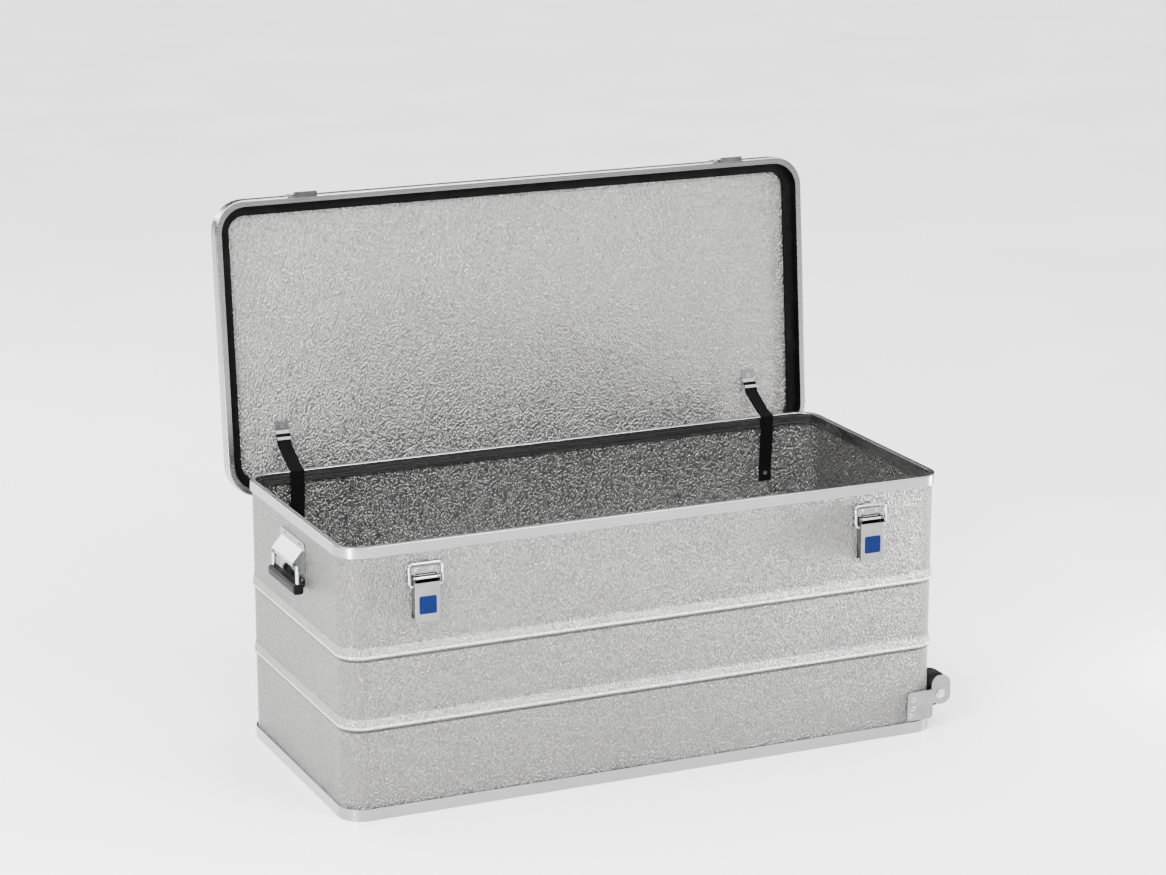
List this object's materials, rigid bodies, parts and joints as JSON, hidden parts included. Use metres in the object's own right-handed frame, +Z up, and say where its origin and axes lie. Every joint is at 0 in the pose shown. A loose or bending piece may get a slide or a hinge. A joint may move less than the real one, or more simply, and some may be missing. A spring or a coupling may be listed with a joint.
{
  "type": "wheeled hard shell transport case",
  "caption": "Wheeled aluminium transport case standing open, with a beaded body, extruded rims, a hinged lid on straps, draw latches, drop end handles and recessed corner wheels.",
  "frame": {"origin": "centre of the underside of the body's bottom rim", "axes": "+Z up; +X along the length towards the wheels; -Y towards the latches, +Y towards the hinges"},
  "size_m": [1.2335, 0.6476, 1],
  "materials": {
    "stucco_aluminium": "embossed sheet, satin",
    "rim_aluminium": "smooth anodised extrusion, satin",
    "base_aluminium": "plain sheet",
    "zinc_steel": "satin zinc plate",
    "rivet_aluminium": "satin",
    "chrome_wire": "polished",
    "bolt_steel": "bright zinc",
    "seal_rubber": "matt",
    "black_webbing": "woven",
    "grip_plastic": "fine grained",
    "tyre_rubber": "matt",
    "hub_plastic": "moulded",
    "blue_label": "printed film"
  },
  "bodies": {
    "case": {"body_shell": "stucco_aluminium", "seam_rivets": "rivet_aluminium", "top_rim": "rim_aluminium", "bottom_rim": "rim_aluminium", "base_panel": "base_aluminium", "case_hinge_leaf_left": "zinc_steel", "case_hinge_leaf_right": "zinc_steel", "hinge_pin_left": "chrome_wire", "hinge_pin_right": "chrome_wire", "case_hinge_rivets": "rivet_aluminium", "strap_left": "black_webbing", "strap_right": "black_webbing", "strap_rivets": "rivet_aluminium", "latch_base_left": "zinc_steel", "latch_base_right": "zinc_steel", "latch_pin_left": "chrome_wire", "latch_pin_right": "chrome_wire", "latch_rivets": "rivet_aluminium", "handle_plate_left": "zinc_steel", "handle_plate_right": "zinc_steel", "handle_rivets": "rivet_aluminium", "wheel_bracket_front": "zinc_steel", "wheel_bracket_rear": "zinc_steel", "wheel_arm_front": "zinc_steel", "wheel_arm_rear": "zinc_steel", "wheel_pocket_front": "base_aluminium", "wheel_pocket_rear": "base_aluminium", "axle_bolt_front": "bolt_steel", "axle_bolt_rear": "bolt_steel", "axle_nuts": "bolt_steel", "axle_washers": "bolt_steel", "axle_spacers": "bolt_steel", "wheel_rivets": "rivet_aluminium"},
    "lid": {"lid_panel": "stucco_aluminium", "lid_rim": "rim_aluminium", "lid_seal": "seal_rubber", "lid_hinge_leaf_left": "zinc_steel", "lid_hinge_leaf_right": "zinc_steel", "lid_hinge_rivets": "rivet_aluminium", "lid_catch_left": "zinc_steel", "lid_catch_right": "zinc_steel", "catch_rivets": "rivet_aluminium", "strap_clip_left": "zinc_steel", "strap_clip_right": "zinc_steel", "clip_rivets": "rivet_aluminium"},
    "lever_left": {"latch_lever_left": "zinc_steel", "latch_label_left": "blue_label"},
    "bail_left": {"latch_bail_left": "chrome_wire"},
    "lever_right": {"latch_lever_right": "zinc_steel", "latch_label_right": "blue_label"},
    "bail_right": {"latch_bail_right": "chrome_wire"},
    "handle_left": {"handle_bail_left": "chrome_wire", "handle_grip_left": "grip_plastic"},
    "handle_right": {"handle_bail_right": "chrome_wire", "handle_grip_right": "grip_plastic"},
    "wheel_front": {"wheel_hub_front": "hub_plastic", "tyre_front": "tyre_rubber"},
    "wheel_rear": {"wheel_hub_rear": "hub_plastic", "tyre_rear": "tyre_rubber"}
  },
  "joints": [
    {"name": "lid_hinge", "type": "hinge", "parent": "case", "child": "lid", "pos_m": [0, 0.268, 0.449], "axis": [1, 0, 0], "range_deg": [0, 95], "deforming": ["strap_left", "strap_right"]},
    {"name": "latch_lever_left", "type": "hinge", "parent": "case", "child": "lever_left", "pos_m": [-0.434, -0.265, 0.43], "axis": [-1, 0, 0], "range_deg": [0, 110]},
    {"name": "latch_bail_left", "type": "hinge", "parent": "lever_left", "child": "bail_left", "pos_m": [-0.434, -0.264, 0.416], "axis": [1, 0, 0], "range_deg": [0, 143]},
    {"name": "latch_lever_right", "type": "hinge", "parent": "case", "child": "lever_right", "pos_m": [0.434, -0.265, 0.43], "axis": [-1, 0, 0], "range_deg": [0, 110]},
    {"name": "latch_bail_right", "type": "hinge", "parent": "lever_right", "child": "bail_right", "pos_m": [0.434, -0.264, 0.416], "axis": [1, 0, 0], "range_deg": [0, 143]},
    {"name": "handle_left", "type": "hinge", "parent": "case", "child": "handle_left", "pos_m": [-0.597, 0, 0.41], "axis": [0, 1, 0], "range_deg": [0, 90]},
    {"name": "handle_right", "type": "hinge", "parent": "case", "child": "handle_right", "pos_m": [0.597, 0, 0.41], "axis": [0, -1, 0], "range_deg": [0, 90]},
    {"name": "wheel_front", "type": "hinge", "parent": "case", "child": "wheel_front", "pos_m": [0.592, -0.2185, 0.07], "axis": [0, 1, 0], "continuous": true},
    {"name": "wheel_rear", "type": "hinge", "parent": "case", "child": "wheel_rear", "pos_m": [0.592, 0.2185, 0.07], "axis": [0, 1, 0], "continuous": true}
  ],
  "couplings": [
    {"joint": "latch_bail_left", "follows": "latch_lever_left", "ratio": 1.3},
    {"joint": "latch_bail_right", "follows": "latch_lever_right", "ratio": 1.3}
  ]
}
